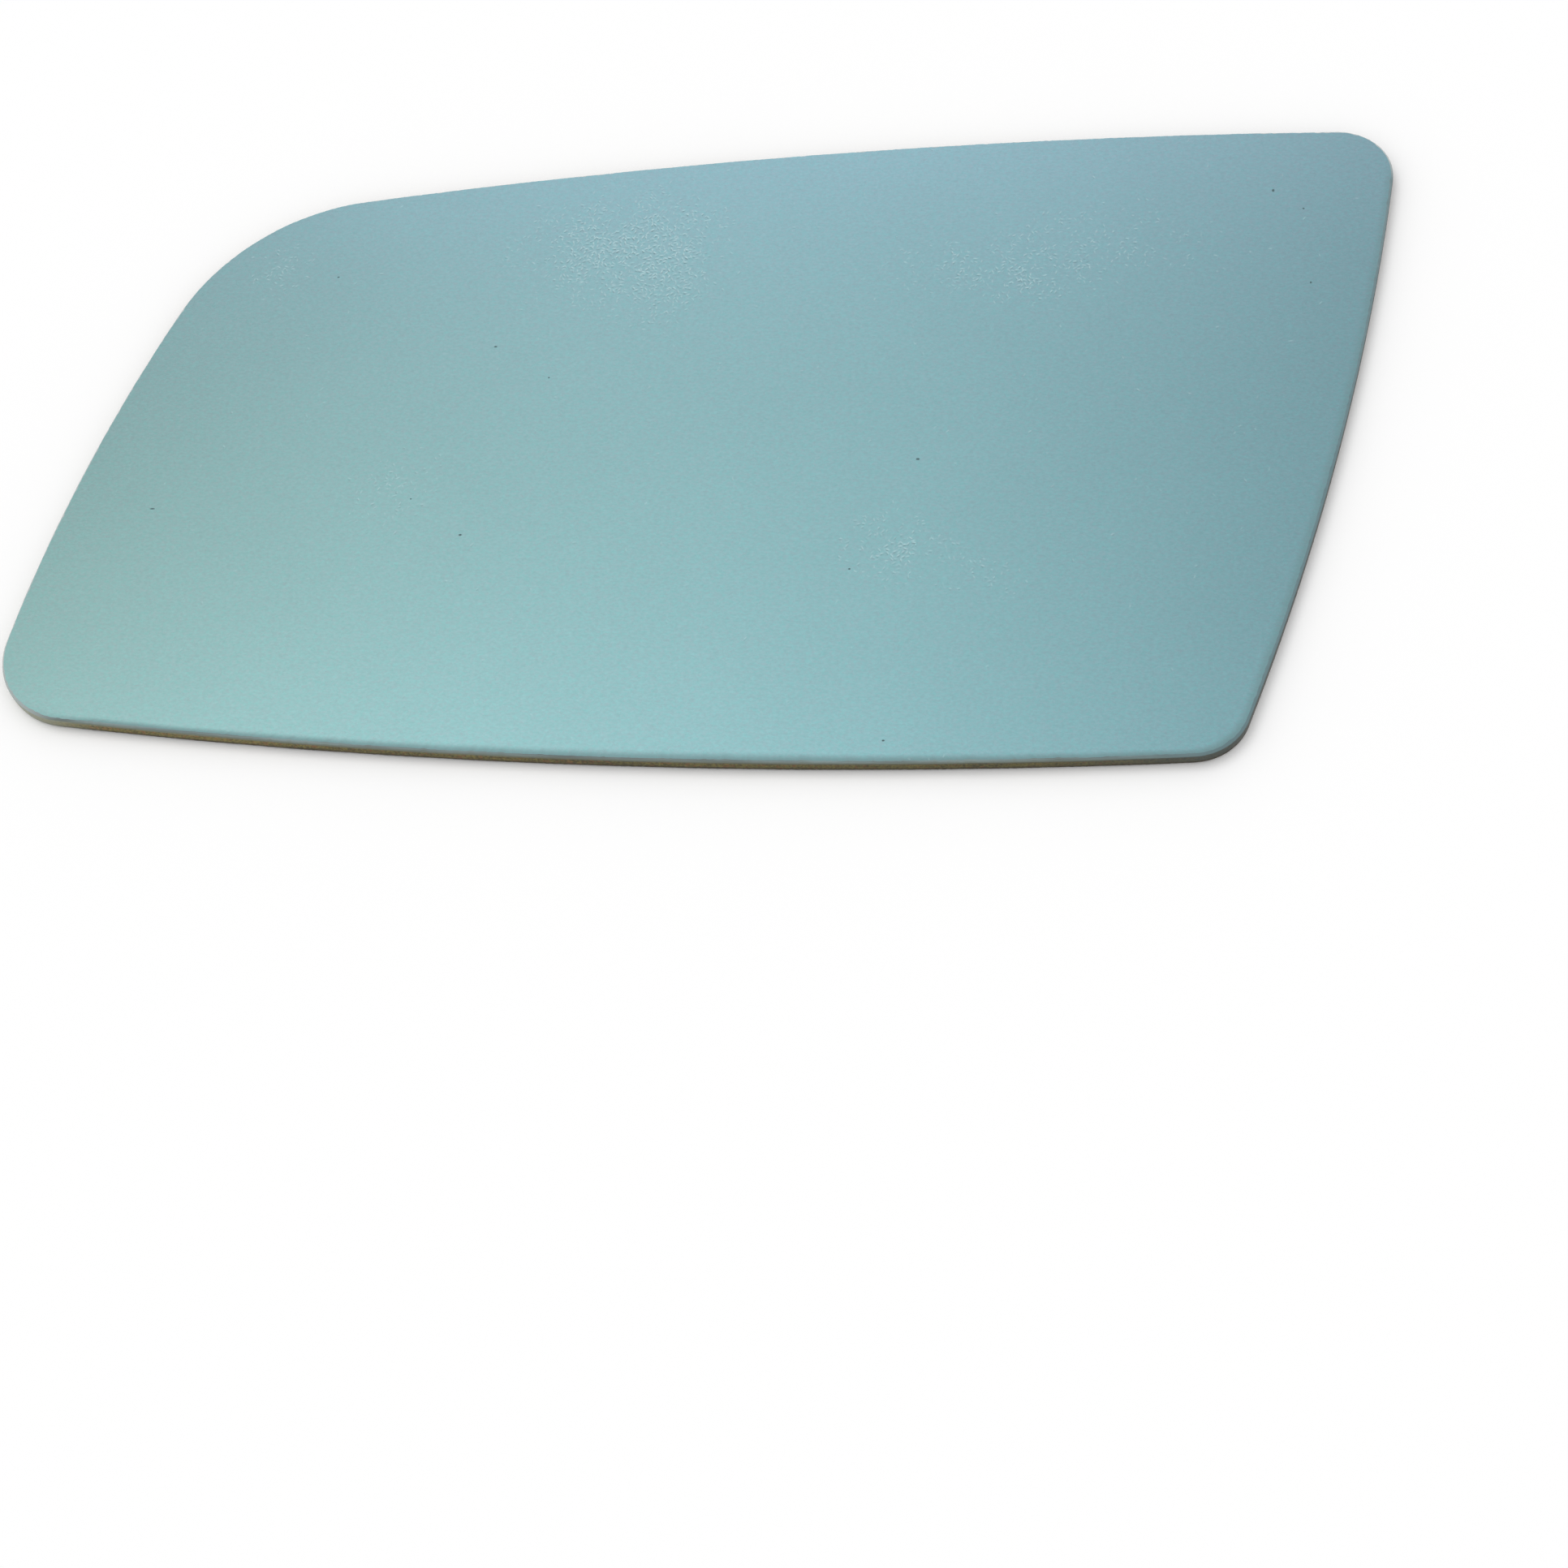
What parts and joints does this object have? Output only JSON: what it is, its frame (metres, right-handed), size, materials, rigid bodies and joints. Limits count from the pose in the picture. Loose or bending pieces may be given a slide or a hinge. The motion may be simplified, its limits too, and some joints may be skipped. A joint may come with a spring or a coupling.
{
  "type": "car door mirror glass",
  "caption": "Flat tinted mirror glass for a car's left door mirror, with a bowed outline, rounded corners and bevelled ground edges.",
  "frame": {"origin": "middle of the pane's box, on its back face", "axes": "+X along the width to the squarer inner end, +Y to the top edge, +Z out of the reflecting face"},
  "size_m": [0.168, 0.0936, 0.002],
  "materials": {
    "mirror_glass": "polished, blue-green tinted reflecting face with ground edges"
  },
  "bodies": {
    "root": {"mirror_glass": "mirror_glass"}
  },
  "joints": []
}
